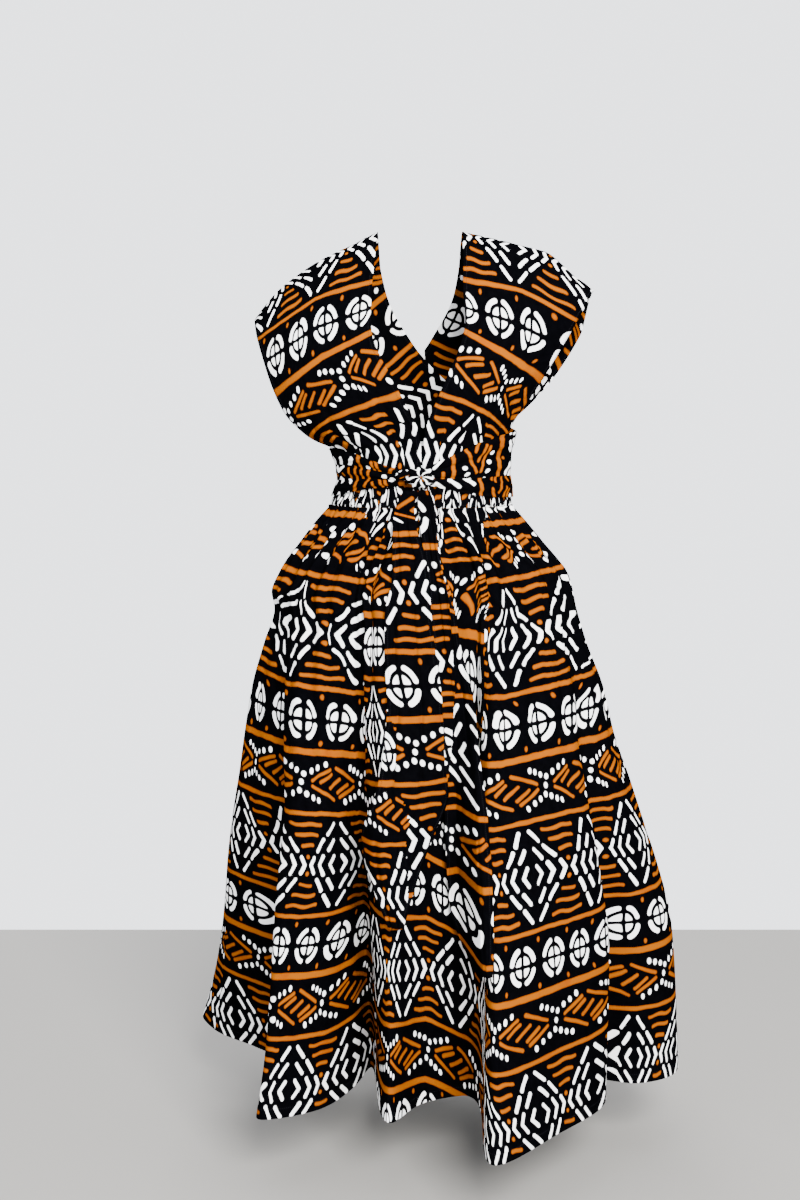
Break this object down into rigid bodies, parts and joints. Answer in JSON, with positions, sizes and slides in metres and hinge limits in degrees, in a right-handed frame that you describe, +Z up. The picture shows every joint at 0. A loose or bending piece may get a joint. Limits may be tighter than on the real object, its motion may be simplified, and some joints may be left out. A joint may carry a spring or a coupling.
{
  "type": "ankara wrap dress",
  "caption": "Floor-length infinity wrap dress in black, white and orange wax print, with wide shoulder straps, a tied waist and a gathered skirt",
  "frame": {"origin": "Midway between the shoulders, at the height of the tops of the two straps", "axes": "+Z up along the worn dress, -Y to the front, +X to the wearer's left"},
  "size_m": [0.8098, 0.7482, 1.3715],
  "materials": {
    "print": "matte",
    "pocketing": "matte"
  },
  "bodies": {
    "root": {"skirt_front": "print", "skirt_back": "print", "pocket_left": "pocketing", "pocket_right": "pocketing", "waistband": "print", "strap_front_left": "print", "strap_front_right": "print", "strap_back_left": "print", "strap_back_right": "print", "waist_wrap_left": "print", "waist_wrap_right": "print", "knot": "print", "tail_left": "print", "tail_right": "print"}
  },
  "joints": []
}
